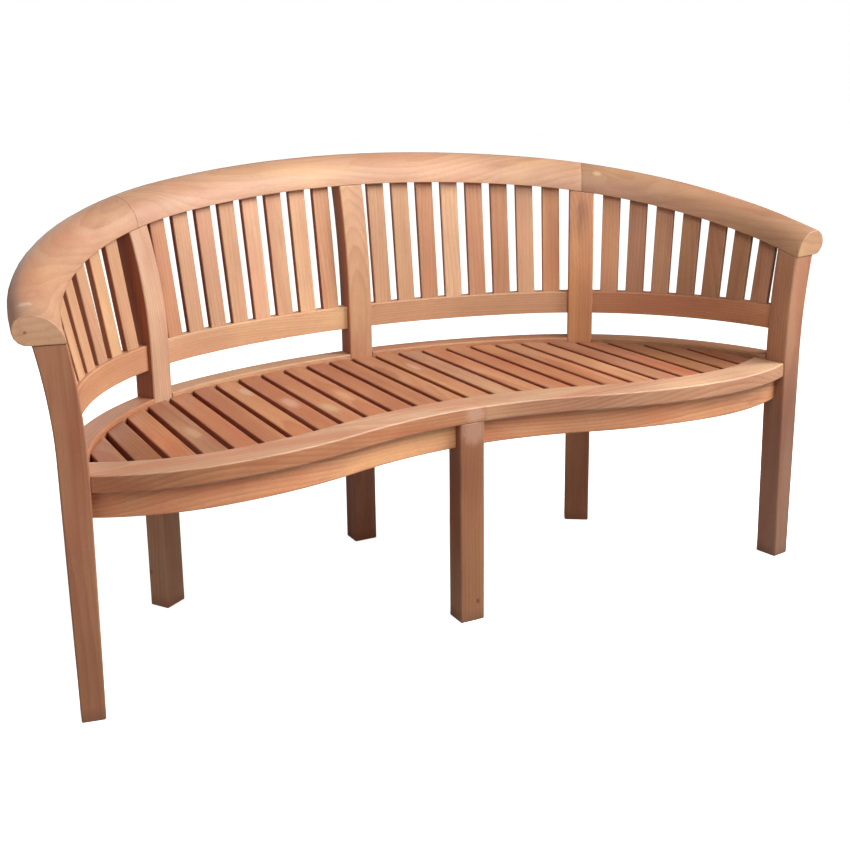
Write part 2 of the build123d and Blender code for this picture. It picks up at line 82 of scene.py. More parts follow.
LEAST_SWIRL = 0.0001
LOG_STEP, LOG_ASIDE, LOG_TURN = 1.37, 0.05, 2.4  # where the next back slat lay in the log
PORE_COLOUR = (0.09, 0.038, 0.016, 1.0)
DAMP_COLOUR = (0.16, 0.075, 0.04, 1.0)
UP = (0.0, 0.0, 1.0)
AHEAD = (0.0, 1.0, 0.0)
POST_TURN = 33.7  # turn of the outer back posts round the back, in degrees
ARM_TURN = 80.4  # turn of the arm posts round the back, in degrees
TINT = {
    "tan": (1.00, 1.00, 1.00, 1.0),
    "straw": (1.02, 1.13, 1.19, 1.0),
    "dusty": (1.04, 1.28, 1.54, 1.0),
    "pale": (1.16, 1.38, 1.45, 1.0),
    "ivory": (1.25, 1.50, 1.68, 1.0),
    "cream": (1.28, 1.24, 1.16, 1.0),
    "honey": (1.13, 1.13, 1.00, 1.0),
    "amber": (0.95, 0.92, 0.90, 1.0),
    "rose": (1.00, 0.93, 0.84, 1.0),
    "ash": (0.92, 1.00, 1.12, 1.0),
    "copper": (0.90, 0.80, 0.76, 1.0),
    "russet": (0.81, 0.69, 0.66, 1.0),
    "brown": (0.76, 0.73, 0.76, 1.0),
    "walnut": (0.66, 0.63, 0.58, 1.0),
    "umber": (0.61, 0.52, 0.44, 1.0),
}
log = logging.getLogger("garden_bench")


def paint(*display: int) -> Colour:
    """Turn red, green and blue from 0 to 255 on a display into a linear colour."""
    shares = (value / 255 for value in display)
    return (*(s / 12.92 if s <= 0.04045 else ((s + 0.055) / 1.055) ** 2.4 for s in shares), 1.0)


class Sawing(Enum):
    """Where a board lay in the log: the pith's offset across and below its middle, in metres."""

    PLAIN = (0.012, 0.075)
    RIFT = (0.085, 0.070)
    QUARTER = (0.140, 0.015)
    HEART = (0.020, 0.032)


class Noise(Enum):
    """A noise's cells per metre along each axis, its finer layers and their strength."""

    PITH_SWAY = (1.3, 1.0, 1.0), 1.0, 0.5
    PITH_ROLL = (1.9, 1.0, 1.0), 1.0, 0.5
    RIPPLE = (1.8, 11.0, 11.0), 2.0, 0.5
    TREMBLE = (5.0, 60.0, 60.0), 2.0, 0.5
    FIBRE = (7.0, 420.0, 420.0), 4.0, 0.62
    PORES = (42.0, 1100.0, 1100.0), 1.0, 0.5
    STREAKS = (1.1, 26.0, 26.0), 3.0, 0.6
    DRIFT = (2.2, 13.0, 13.0), 2.0, 0.6
    MOTTLE = (4.0, 4.0, 4.0), 3.0, 0.55
    TORN_BORDER = (170.0, 170.0, 170.0), 3.0, 0.65
    TARNISH = (320.0, 320.0, 320.0), 3.0, 0.5


class Edge:
    """Values between which something starts and is full, or stops."""

    LATE_WOOD = (0.25, 0.92)
    RING_END = (0.93, 1.0)
    PORES = (0.60, 0.70)
    PORES_IN_RING = (0.1, 0.8)
    STREAKS = (0.56, 0.80)
    DRIFT = (0.0, 0.22)
    MOTTLE = (0.25, 0.75)
    EDGE_TINT = (0.3, 0.7)
    DAMP_HEIGHT = (0.004, 0.030)
    EDGE_BEND = (0.995, 0.86)
    END_GRAIN = (0.80, 0.95)
    PAINTED_SIDE_SHADE = (0.80, 0.45)
    MARK = (1.05, 0.35)
    TARNISH = (0.35, 0.65)


class Share:
    """How strongly each thing shows or works; a pair gives the ends of a range."""

    PITH_SWAY, PITH_ROLL = 4.0, 3.0
    SWIRL, TREMBLE = 1.1, 0.55
    LATE_WOOD = 0.62
    PORES_IN_RING = (1.0, 0.35)
    STRAW, ROSE = (0.0, 0.60), (0.0, 0.65)
    STREAKS, PORES = 0.48, 0.26
    FIBRE_LIGHT, MOTTLE_LIGHT = 0.30, (0.74, 0.97)
    EDGE_TINT = (0.15, 0.55)
    DAMP = (0.45, 0.0)
    ROUGHENING = (("Fibre", 0.16), ("End Grain", 0.18), ("Pores", 0.12))
    SINKING = (("Pores", 0.9), ("Rings", 0.25))
    RELIEF = 0.55
    TARNISH_ROUGH = 0.3


@dataclass
class Graph:
    """Adds nodes to a node tree, so that a material reads like a sum.

    Attributes:
        tree: The node tree that is being filled.
    """

    tree: Any

    def feed(self, socket: Any, source: Any) -> None:
        """Join a source to a socket, or set the socket where the source is a plain value.

        Args:
            socket: The input socket.
            source: An output socket, a number or a colour.
        """
        if isinstance(source, bpy.types.NodeSocket):
            self.tree.links.new(source, socket)
        else:
            socket.default_value = source

    def node(self, kind: str, takes: dict[Any, Any] | None = None, **settings: Any) -> Any:
        """Add one node and feed its inputs.

        Args:
            kind: Blender's name for the type of node.
            takes: What each input is fed, by the input's name or number.
            settings: Properties to set on the node.

        Returns:
            The new node's outputs.
        """
        made = self.tree.nodes.new(kind)
        for name, value in settings.items():
            setattr(made, name, value)
        for key, source in (takes or {}).items():
            self.feed(made.inputs[key], source)
        return made.outputs

    def group(self, tree: Any, takes: dict[Any, Any]) -> Any:
        """Add a node group with its inputs fed, and give back its outputs."""
        return self.node("ShaderNodeGroup", takes, node_tree=tree)

    def show(self, shader: Any) -> None:
        """Send a shader's output socket out of the material."""
        self.node("ShaderNodeOutputMaterial", {"Surface": shader})

    def math(self, operation: str, *terms: Any, clamp: bool = False) -> Any:
        """Work out a number from one to three others, by an operation such as ADD."""
        takes = dict(enumerate(terms))
        return self.node("ShaderNodeMath", takes, operation=operation, use_clamp=clamp)[0]

    def plus(self, first: Any, second: Any) -> Any:
        """Add two numbers."""
        return self.math("ADD", first, second)

    def minus(self, first: Any, second: Any) -> Any:
        """Take the second number from the first."""
        return self.math("SUBTRACT", first, second)

    def times(self, first: Any, second: Any) -> Any:
        """Multiply two numbers."""
        return self.math("MULTIPLY", first, second)

    def vector(self, operation: str, *terms: Any, result: str = "Vector") -> Any:
        """Work out a Vector, or a Value, from vectors, by an operation such as ADD."""
        takes = dict(enumerate(terms))
        return self.node("ShaderNodeVectorMath", takes, operation=operation)[result]

    def length(self, vector: Any) -> Any:
        """Length of a vector."""
        return self.vector("LENGTH", vector, result="Value")

    def facing(self, normal: Any, way: Triple) -> Any:
        """How squarely a face looks along a way or against it, from 0 to 1."""
        share = self.vector("DOT_PRODUCT", normal, Vector(way).normalized(), result="Value")
        return self.math("ABSOLUTE", share)

    def combine(self, x: Any, y: Any, z: Any) -> Any:
        """Join three numbers into a vector."""
        return self.node("ShaderNodeCombineXYZ", {0: x, 1: y, 2: z})[0]

    def split(self, vector: Any) -> tuple[Any, ...]:
        """Take a vector apart into its three numbers."""
        return tuple(self.node("ShaderNodeSeparateXYZ", {0: vector}))

    def noise(self, vector: Any, kind: Noise) -> Any:
        """Noise from 0 to 1, read at a place in metres.

        Args:
            vector: Where the noise is read.
            kind: Which noise it is.

        Returns:
            The socket with the noise.
        """
        stretch, detail, rough = kind.value
        place = self.vector("MULTIPLY", vector, stretch)
        takes = {"Vector": place, "Scale": 1.0, "Detail": detail, "Roughness": rough}
        return self.node("ShaderNodeTexNoise", takes)[0]

    def sway(self, vector: Any, kind: Noise) -> Any:
        """Noise that goes both ways from zero."""
        return self.minus(self.noise(vector, kind), 0.5)

    def remap(self, value: Any, bounds: Pair, ends: Pair = (0.0, 1.0)) -> Any:
        """Carry a number smoothly from the range between two bounds to a new one."""
        takes = dict(enumerate((value, *bounds, *ends)))
        return self.node("ShaderNodeMapRange", takes, interpolation_type="SMOOTHSTEP")[0]

    def blend(self, first: Any, second: Any, share: Any, mode: str = "MIX") -> Any:
        """Lay a share of the second colour over the first, by MIX or MULTIPLY."""
        takes = {0: share, 6: first, 7: second}
        return self.node("ShaderNodeMix", takes, data_type="RGBA", blend_type=mode)[2]

    def steps(self, share: Any, colours: Sequence[Colour]) -> Any:
        """Give each equal share of the range one of the colours, with hard borders.

        Args:
            share: A number from 0 to 1.
            colours: The colours in order.

        Returns:
            The socket with the colour.
        """
        made = self.tree.nodes.new("ShaderNodeValToRGB")
        made.color_ramp.interpolation = "CONSTANT"
        stops = made.color_ramp.elements
        while len(stops) < len(colours):
            stops.new(0.5)
        for index, colour in enumerate(colours):
            stops[index].position = index / len(colours)
            stops[index].color = colour
        self.feed(made.inputs[0], share)
        return made.outputs[0]


def new_material(name: str) -> tuple[Any, Graph]:
    """Make a material with an empty node tree.

    Args:
        name: The material's name.

    Returns:
        The material and the graph of its tree.
    """
    made = bpy.data.materials.new(name)
    made.use_nodes = True
    made.node_tree.nodes.clear()
    return made, Graph(made.node_tree)


@dataclass(frozen=True)
class ShopGroups:
    """The node groups that every teak material shares.

    Attributes:
        figure: Growth rings, fibre, pores and mineral streaks inside a board.
        surface: Colour, gloss and relief of a planed and oiled face.
        counting: Number of a back slat in its bay.
        mark: A single mark with a ragged border, such as a pin knot, a scuff or a patch of painted
            shade.
    """

    figure: Any
    surface: Any
    counting: Any
    mark: Any

    @classmethod
    def build(cls) -> "ShopGroups":
        """Build the four groups once."""
        return cls(cls._figure(), cls._surface(), cls._counting(), cls._mark())

    @staticmethod
    def _start(name: str, takes: Sockets, gives: Sockets) -> tuple[Graph, Any, Any]:
        """Make an empty group with named sockets.

        Args:
            name: The group's name.
            takes: Names of the inputs by type.
            gives: Names of the outputs by type.

        Returns:
            The group's graph, its input sockets and its output sockets.
        """
        tree = bpy.data.node_groups.new(name, "ShaderNodeTree")
        for way, sockets in (("INPUT", takes), ("OUTPUT", gives)):
            for kind, titles in sockets.items():
                for title in titles:
                    tree.interface.new_socket(name=title, in_out=way, socket_type=kind)
        graph = Graph(tree)
        return graph, graph.node("NodeGroupInput"), tree.nodes.new("NodeGroupOutput").inputs

    @classmethod
    def _figure(cls) -> Any:
        """Figure of sawn teak, read along, across and through a plank."""
        graph, into, out = cls._start(
            "teak_figure",
            {
                PLACE: ("Plank", "Knot"),
                NUMBER: ("Ring Width", "Pith Across", "Pith Below", "Wander", "Seed", "Knot Size"),
            },
            {NUMBER: FIGURE},
        )
        seed, wander, size = into["Seed"], into["Wander"], into["Knot Size"]
        shift = graph.combine(*(graph.times(seed, step) for step in SEED_STEPS))
        place = graph.vector("ADD", into["Plank"], shift)
        _, across, below = graph.split(into["Plank"])
        along, _, _ = graph.split(place)
        sway = graph.sway(graph.combine(along, 0.0, seed), Noise.PITH_SWAY)
        side = graph.minus(across, into["Pith Across"])
        side = graph.plus(side, graph.times(sway, graph.times(wander, Share.PITH_SWAY)))
        roll = graph.sway(graph.combine(along, ROLL_OFFSET, seed), Noise.PITH_ROLL)
        depth = graph.minus(below, into["Pith Below"])
        depth = graph.plus(depth, graph.times(roll, graph.times(wander, Share.PITH_ROLL)))
        radius = graph.length(graph.combine(side, depth, 0.0))
        radius = graph.plus(radius, graph.times(graph.sway(place, Noise.RIPPLE), wander))
        reach = graph.vector("SUBTRACT", into["Plank"], into["Knot"])
        reach = graph.length(graph.vector("MULTIPLY", reach, SWIRL_SHAPE))
        reach = graph.math("DIVIDE", reach, graph.math("MAXIMUM", size, LEAST_SWIRL))
        swirl = graph.math("EXPONENT", graph.times(graph.times(reach, reach), -1.0))
        radius = graph.plus(radius, graph.times(swirl, graph.times(size, Share.SWIRL)))
        tremble = graph.times(graph.sway(place, Noise.TREMBLE), Share.TREMBLE)
        count = graph.plus(graph.math("DIVIDE", radius, into["Ring Width"]), tremble)
        ring = graph.math("FRACT", count)
        ring_end = graph.remap(ring, Edge.RING_END, (1.0, 0.0))
        late = graph.times(graph.remap(ring, Edge.LATE_WOOD), ring_end)
        year = graph.combine(graph.math("FLOOR", count), seed, 0.0)
        year = graph.node("ShaderNodeTexWhiteNoise", {"Vector": year}, noise_dimensions="2D")[0]
        year = graph.times(year, 1.0 - Share.LATE_WOOD)
        rings = graph.plus(graph.times(late, Share.LATE_WOOD), year)
        pores = graph.remap(graph.noise(place, Noise.PORES), Edge.PORES)
        pores = graph.times(pores, graph.remap(ring, Edge.PORES_IN_RING, Share.PORES_IN_RING))
        streaks = graph.remap(graph.noise(place, Noise.STREAKS), Edge.STREAKS)
        fibre, drift = graph.noise(place, Noise.FIBRE), graph.sway(place, Noise.DRIFT)
        figure = (rings, fibre, pores, streaks, drift)
        for title, value in zip(FIGURE, figure):
            graph.feed(out[title], value)
        return graph.tree

    @classmethod
    def _surface(cls) -> Any:
        """Colour, gloss and relief of planed teak, with end grain and tinted edges."""
        graph, into, out = cls._start(
            "teak_surface",
            {
                COLOUR: (*WOOD, "Tone", "End Shade", "Rubbed"),
                NUMBER: (*FIGURE, "End Grain", "Edge", "Gloss"),
                PLACE: ("Place",),
            },
            {COLOUR: ("Color",), NUMBER: ("Roughness", "Height")},
        )
        drift_back = (-bound for bound in Edge.DRIFT)
        straw = graph.remap(into["Drift"], Edge.DRIFT, Share.STRAW)
        rose = graph.remap(into["Drift"], tuple(drift_back), Share.ROSE)
        mottle = graph.noise(into["Place"], Noise.MOTTLE)
        light = graph.remap(mottle, Edge.MOTTLE, Share.MOTTLE_LIGHT)
        light = graph.plus(graph.times(into["Fibre"], Share.FIBRE_LIGHT), light)
        # Edge tint: on lighter edges it is partly wear on the arrises and partly painted
        # highlight.
        edge_share = graph.times(into["Edge"], graph.remap(mottle, Edge.EDGE_TINT, Share.EDGE_TINT))
        _, _, height = graph.split(into["Place"])
        damp = graph.remap(height, Edge.DAMP_HEIGHT, Share.DAMP)
        shade = graph.blend(into["Sapwood"], into["Heartwood"], into["Rings"])
        shade = graph.blend(shade, into["Straw"], straw)
        shade = graph.blend(shade, into["Rose"], rose)
        shade = graph.blend(shade, into["Streak"], graph.times(into["Streaks"], Share.STREAKS))
        shade = graph.vector("MULTIPLY", shade, graph.combine(light, light, light))
        shade = graph.blend(shade, into["Tone"], 1.0, "MULTIPLY")
        shade = graph.blend(shade, PORE_COLOUR, graph.times(into["Pores"], Share.PORES))
        shade = graph.blend(shade, into["End Shade"], into["End Grain"], "MULTIPLY")
        shade = graph.blend(shade, into["Rubbed"], edge_share)
        shade = graph.blend(shade, DAMP_COLOUR, damp)
        rough, relief = into["Gloss"], into["Fibre"]
        for title, share in Share.ROUGHENING:
            rough = graph.math("ADD", rough, graph.times(into[title], share), clamp=True)
        for title, share in Share.SINKING:
            relief = graph.minus(relief, graph.times(into[title], share))
        for title, value in (("Color", shade), ("Roughness", rough), ("Height", relief)):
            graph.feed(out[title], value)
        return graph.tree

    @classmethod
    def _counting(cls) -> Any:
        """Number of each back slat in its bay, counted by length round the back's two arcs."""
        graph, into, out = cls._start(
            "slat_counting",
            {
                PLACE: ("Place", "Middle Center", "Wing Center"),
                NUMBER: ("Middle Radius", "Wing Radius", "Meet", "First", "Pitch", "Count"),
            },
            {NUMBER: ("Share", "Index")},
        )
        x, y, _ = graph.split(into["Place"])
        mirrored = graph.combine(graph.math("ABSOLUTE", x), y, 0.0)
        turns = []
        for title in ("Middle Center", "Wing Center"):
            beside, behind, _ = graph.split(graph.vector("SUBTRACT", mirrored, into[title]))
            turns.append(graph.math("ARCTAN2", beside, behind))
        inner = graph.times(graph.math("MINIMUM", turns[0], into["Meet"]), into["Middle Radius"])
        beyond = graph.math("MAXIMUM", graph.minus(turns[1], into["Meet"]), 0.0)
        length = graph.plus(inner, graph.times(beyond, into["Wing Radius"]))
        length = graph.times(length, graph.math("SIGN", x))
        index = graph.math("DIVIDE", graph.minus(length, into["First"]), into["Pitch"])
        index = graph.math("MAXIMUM", graph.math("FLOOR", index), 0.0)
        index = graph.math("MINIMUM", index, graph.minus(into["Count"], 1.0))
        graph.feed(out["Share"], graph.math("DIVIDE", graph.plus(index, 0.5), into["Count"]))
        graph.feed(out["Index"], index)
        return graph.tree

    @classmethod
    def _mark(cls) -> Any:
        """How strongly one mark shows at a place."""
        graph, into, out = cls._start(
            "board_mark", {PLACE: ("Place", "Center", "Reach"), NUMBER: ("Ragged",)},
            {NUMBER: ("Mask",)},
        )
        apart = graph.vector("SUBTRACT", into["Place"], into["Center"])
        span = graph.length(graph.vector("DIVIDE", apart, into["Reach"]))
        torn = graph.times(graph.sway(into["Place"], Noise.TORN_BORDER), into["Ragged"])
        graph.feed(out["Mask"], graph.remap(graph.plus(span, torn), Edge.MARK))
        return graph.tree


@dataclass(frozen=True)
class Mark:
    """A single mark on a board, such as a knot, a scuff or a patch of painted shade.

    Attributes:
        center: The mark's place, in metres.
        reach: How far it reaches along each axis, in metres.
        colour: Its colour.
        strength: How strongly it covers the wood.
        ragged: How far its border wanders, beside its reach.
    """

    center: Triple
    reach: Triple
    colour: Colour
    strength: float = 0.6
    ragged: float = 1.2


@dataclass(frozen=True)
class Plank:
    """One board of the bench, how it lay in the log and how it is set.

    Attributes:
        name: Its node.
        tone: Its tint.
        turns: Turns of its ends round the back or, for a post, of its face, in degrees.
        along: Direction of the grain.
        face: Direction out of the wide face.
        sawing: Where it lay in the log.
        seed: A number that no other board has.
        ring_width: Width of a year's growth, in metres.
        wander: How far the grain drifts, in metres.
        swirl: Place of a swirl in the grain, in metres.
        swirl_size: Reach of the swirl, in metres; 0 for none.
        marks: Single marks on the board.
        side_painted_shade: Painted shade on the narrow sides, standing in for the shade that falls
            on them; none where they are left unshaded.
        side_from: Height above which that tint shows, in metres.
        side_fade: Height over which it fades in, in metres.
        middle: A point in the middle of the board, in metres.
    """

    name: str
    tone: str = "tan"
    turns: Pair = (0.0, 0.0)
    along: Triple = UP
    face: Triple = UP
    sawing: Sawing = Sawing.PLAIN
    seed: float = 0.0
    ring_width: float = 0.0062
    wander: float = 0.014
    swirl: Triple = (9.0, 9.0, 9.0)
    swirl_size: float = 0.0
    marks: tuple[Mark, ...] = ()
    side_painted_shade: Colour | None = None
    side_from: float = 0.0
    side_fade: float = 0.04
    middle: Triple = (0.0, 0.0, 0.0)

    def axes(self) -> Matrix:
        """Rotation that carries the plank's axes onto the bench's."""
        along = Vector(self.along).normalized()
        across = Vector(self.face).cross(along).normalized()
        return Matrix((along, across, along.cross(across))).transposed()

    def local(self, place: Triple) -> Triple:
        """Carry a place on the bench over to the plank's own axes."""
        return tuple(self.axes().transposed() @ (Vector(place) - Vector(self.middle)))


@dataclass(frozen=True)
class BackCurve:
    """Plan of the back: a middle arc that runs into a tighter arc at each side.

    Attributes:
        middle_center: Centre of the middle arc, in metres.
        middle_radius: Radius of the middle arc, in metres.
        wing_center: Centre of the right side's arc, in metres.
        wing_radius: Radius of the side arcs, in metres.
        meet: Turn where the arcs meet, in degrees.
    """

    middle_center: Triple = (0.0, -0.84792, 0.0)
    middle_radius: float = 1.062
    wing_center: Triple = (0.1835, -0.34964, 0.0)
    wing_radius: float = 0.531
    meet: float = 20.217

    def length(self, turn: float) -> float:
        """Work out the length round the back from its middle to a turn.

        Args:
            turn: The turn, in degrees.

        Returns:
            The length in metres, below zero on the left.
        """
        inner = math.radians(min(abs(turn), self.meet))
        beyond = math.radians(max(abs(turn) - self.meet, 0.0))
        return math.copysign(self.middle_radius * inner + self.wing_radius * beyond, turn)


@dataclass(frozen=True)
class Fan:
    """One bay of back slats, each with its own tone.

    Attributes:
        curve: Plan of the back.
        first: Length round the back where the first slat's share starts, in metres.
        pitch: Length from slat to slat, in metres.
        tones: One tone for each slat, from left to right.
    """

    curve: BackCurve
    first: float
    pitch: float
    tones: tuple[Colour, ...]

    def spread(self, graph: Graph, counting: Any, place: Any, board: Any) -> tuple[Any, Any]:
        """Give each slat its own place in the log and its own tone.

        Args:
            graph: Graph of the slats' material.
            counting: The node group that counts the slats.
            place: Socket with the place on the bench.
            board: Socket with the place on the plank.

        Returns:
            The sockets with the place in the log and with the tone.
        """
        curve = self.curve
        counted = graph.group(counting, {
            "Place": place, "Middle Center": curve.middle_center, "Wing Center": curve.wing_center,
            "Middle Radius": curve.middle_radius, "Wing Radius": curve.wing_radius,
            "Meet": math.radians(curve.meet), "First": self.first, "Pitch": self.pitch,
            "Count": len(self.tones),
        })
        index = counted["Index"]
        aside = graph.times(graph.math("SINE", graph.times(index, LOG_TURN)), LOG_ASIDE)
        shift = graph.combine(graph.times(index, LOG_STEP), aside, 0.0)
        return graph.vector("ADD", board, shift), graph.steps(counted["Share"], self.tones)


@dataclass(frozen=True)
class TeakFinish:
    """Planed and lightly oiled teak.

    Attributes:
        sapwood: Colour of the pale early growth.
        heartwood: Colour of the dark late growth.
        streak: Colour of mineral streaks.
        straw: Colour that the wood drifts to where it is yellower.
        rose: Colour that the wood drifts to where it is redder.
        end_shade: Tint where the end grain shows.
        rubbed: Colour laid on the edges; where it is lighter it is partly wear on the arrises and
            partly painted highlight.
        gloss: Roughness before fibre and pores are added.
        shine: Strength of the plain reflection.
        relief: Depth of the raised grain, in metres.
        corner: Radius of the worn corners, in metres.
    """

    sapwood: Colour = paint(186, 136, 101)
    heartwood: Colour = paint(172, 119, 85)
    streak: Colour = paint(132, 82, 56)
    straw: Colour = paint(195, 147, 104)
    rose: Colour = paint(176, 116, 86)
    end_shade: Colour = (0.80, 0.78, 0.72, 1.0)
    # Lighter edges: partly wear on the arrises, partly painted highlight.
    rubbed: Colour = (0.70, 0.47, 0.30, 1.0)
    gloss: float = 0.42
    shine: float = 0.42
    relief: float = 0.00022
    corner: float = 0.0022

    def material(self, plank: Plank, groups: ShopGroups, fan: Fan | None = None) -> Any:
        """Make the material of one board, or of one fan of slats.

        Args:
            plank: The board.
            groups: The shared node groups.
            fan: Tones of the slats, where the piece is a fan of them.

        Returns:
            The new material.
        """
        made, graph = new_material("teak_" + plank.name)
        seen = graph.node("ShaderNodeTexCoord")
        place, normal = seen["Object"], seen["Normal"]
        board: Any = graph.node("ShaderNodeMapping", {
            "Vector": place, "Location": plank.middle, "Rotation": plank.axes().to_euler(),
        }, vector_type="TEXTURE")[0]
        tint: Any = TINT[plank.tone]
        if fan is not None:
            board, tint = fan.spread(graph, groups.counting, place, board)
        pith_across, pith_below = plank.sawing.value
        figure = graph.group(groups.figure, {
            "Plank": board, "Ring Width": plank.ring_width, "Pith Across": pith_across,
            "Pith Below": pith_below, "Wander": plank.wander, "Seed": plank.seed,
            "Knot": plank.local(plank.swirl), "Knot Size": plank.swirl_size,
        })
        soft = graph.node("ShaderNodeBevel", {"Radius": self.corner}, samples=4)[0]
        sharp = graph.node("ShaderNodeNewGeometry")["True Normal"]
        agree = graph.vector("DOT_PRODUCT", soft, sharp, result="Value")
        surface = graph.group(groups.surface, {
            **{title: figure[title] for title in FIGURE},
            **{title: getattr(self, title.lower()) for title in WOOD},
            "Tone": tint, "End Shade": self.end_shade, "Rubbed": self.rubbed,
            "End Grain": graph.remap(graph.facing(normal, plank.along), Edge.END_GRAIN),
            "Edge": graph.remap(agree, Edge.EDGE_BEND), "Place": place, "Gloss": self.gloss,
        })
        shade = surface["Color"]
        # Painted shade: the narrow sides are darkened above a given height, standing in for the
        # shade on them.
        if plank.side_painted_shade is not None:
            side = graph.remap(graph.facing(normal, plank.face), Edge.PAINTED_SIDE_SHADE)
            _, _, height = graph.split(place)
            heights = (plank.side_from - plank.side_fade, plank.side_from)
            side = graph.times(side, graph.remap(height, heights))
            shade = graph.blend(shade, plank.side_painted_shade, side, "MULTIPLY")
        for mark in plank.marks:
            mask = graph.group(groups.mark, {
                "Place": place, "Center": mark.center, "Reach": mark.reach, "Ragged": mark.ragged,
            })["Mask"]
            shade = graph.blend(shade, mark.colour, graph.times(mask, mark.strength))
        bump = graph.node("ShaderNodeBump", {
            "Strength": Share.RELIEF, "Distance": self.relief, "Height": surface["Height"],
            "Normal": soft,
        })[0]
        graph.show(graph.node("ShaderNodeBsdfPrincipled", {
            "Base Color": shade, "Roughness": surface["Roughness"], "Normal": bump,
            "Specular IOR Level": self.shine,
        })[0])
        return made


def dress(item: Any, material: Any) -> None:
    """Give a mesh object one material in all its slots, and report it.

    Args:
        item: The mesh object.
        material: The material to show.
    """
    if not item.material_slots:
        item.data.materials.append(material)
    for slot in item.material_slots:
        slot.material = material
    log.info("%s: %s", item.name, material.name)


def rest_all() -> None:
    """Leave nothing selected and no edit mode on."""
    if bpy.context.object and bpy.context.object.mode != "OBJECT":
        bpy.ops.object.mode_set(mode="OBJECT")
    bpy.ops.object.select_all(action="DESELECT")


@dataclass
class SubAssembly:
    """A part of the bench that is dressed by itself.

    Attributes:
        nodes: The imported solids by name.
        groups: The shared node groups.
    """

    nodes: dict[str, Any]
    groups: ShopGroups

    def board(
        self, finish: TeakFinish, plank: Plank, piece: Any = None, fan: Fan | None = None
    ) -> None:
        """Dress one node, or the piece that stands for it, in its own teak.

        Args:
            finish: Finish of the teak.
            plank: The board, its middle aside.
            piece: The piece that stands for the node, where there is one.
            fan: Tones of the slats, where the node is a fan of them.
        """
        low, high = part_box(plank.name)
        plank = replace(plank, middle=tuple((low + high) / 2))
        dress(piece or self.nodes[plank.name], finish.material(plank, self.groups, fan))


@dataclass
class Frame(SubAssembly):
    """Legs and posts of the bench.

    Attributes:
        finish: Teak finish of the legs.
        posts: The legs and posts.
        side_from: Height above which the painted side shade shows, in metres.
        ring_width: Width of a year's growth, in metres.
        first_seed: Seed of the first post.
    """

    finish: TeakFinish = TeakFinish(
        streak=paint(98, 52, 32), straw=paint(200, 150, 102), rose=paint(164, 98, 68)
    )
    posts: tuple[Plank, ...] = (
        Plank("left_arm_post", "russet", (9.6, 9.6), marks=(
            # Painted shade: the lower leg is darker towards the floor.
            Mark((-0.77, -0.262, 0.05), (0.09, 0.09, 0.3), paint(120, 66, 44), 0.25, 0.3),
        )),
        Plank("left_back_post", "dusty", (-POST_TURN, -POST_TURN), marks=(
            Mark((-0.5218, 0.1098, 0.07), (0.004, 0.01, 0.008), paint(84, 48, 30), 0.5, 0.8),
            # Painted shade on the lower leg, under the seat.
            Mark((-0.51, 0.1, 0.1), (0.09, 0.09, 0.36), paint(170, 96, 60), 0.38, 0.3),
        # Painted shade on the post's narrow sides above the seat.
        ), side_painted_shade=(0.68, 0.35, 0.24, 1.0)),
        Plank("center_back_post", "straw", marks=(
            # Painted shade on the lower leg, under the seat.
            Mark((0.0, 0.23, 0.1), (0.09, 0.09, 0.4), paint(126, 54, 22), 0.6, 0.3),
        # Painted shade on the post's narrow sides above the seat.
        ), side_painted_shade=(0.86, 0.56, 0.42, 1.0)),
        Plank("right_back_post", "rose", (POST_TURN, POST_TURN), marks=(
            # Painted shade on the lower leg, under the seat.
            Mark((0.5, 0.11, 0.12), (0.09, 0.09, 0.36), paint(140, 74, 44), 0.4, 0.3),
        )),
        Plank("right_arm_post", "brown", (-9.6, -9.6), marks=(
            # Painted shade: the lower leg is darker towards the floor.
            Mark((0.735, -0.268, 0.13), (0.09, 0.09, 0.36), paint(100, 70, 56), 0.52, 0.3),
        )),
        Plank("center_front_leg", "umber", marks=(
            Mark((0.002, -0.2499, 0.375), (0.03, 0.012, 0.034), paint(198, 158, 138), 0.4, 0.7),
            Mark((0.0109, -0.2499, 0.0388), (0.0045, 0.01, 0.007), paint(88, 44, 24), 0.75, 0.8),
        )),
    )
    side_from: float = 0.40
    ring_width: float = 0.0065
    first_seed: float = 3.1

    def dress(self) -> None:
        """Give each post its own board, grain upright."""
        for number, post in enumerate(self.posts):
            angle = math.radians(post.turns[0])
            self.board(self.finish, replace(
                post, face=(-math.sin(angle), -math.cos(angle), 0.0), ring_width=self.ring_width,
                sawing=Sawing.RIFT if number % 2 else Sawing.PLAIN, side_from=self.side_from,
                seed=self.first_seed + number,
            ))


@dataclass(frozen=True)
class Bay:
    """The rails and slats between two posts of the back.

    Attributes:
        name: The bay's name.
        turns: Turns of its two posts, in degrees.
        rails: Tints of its lower back rail and its back seat rail.
        slats: Tint of each of its slats, from left to right.
    """

    name: str
    turns: Pair
    rails: tuple[str, str]
    slats: tuple[str, ...]


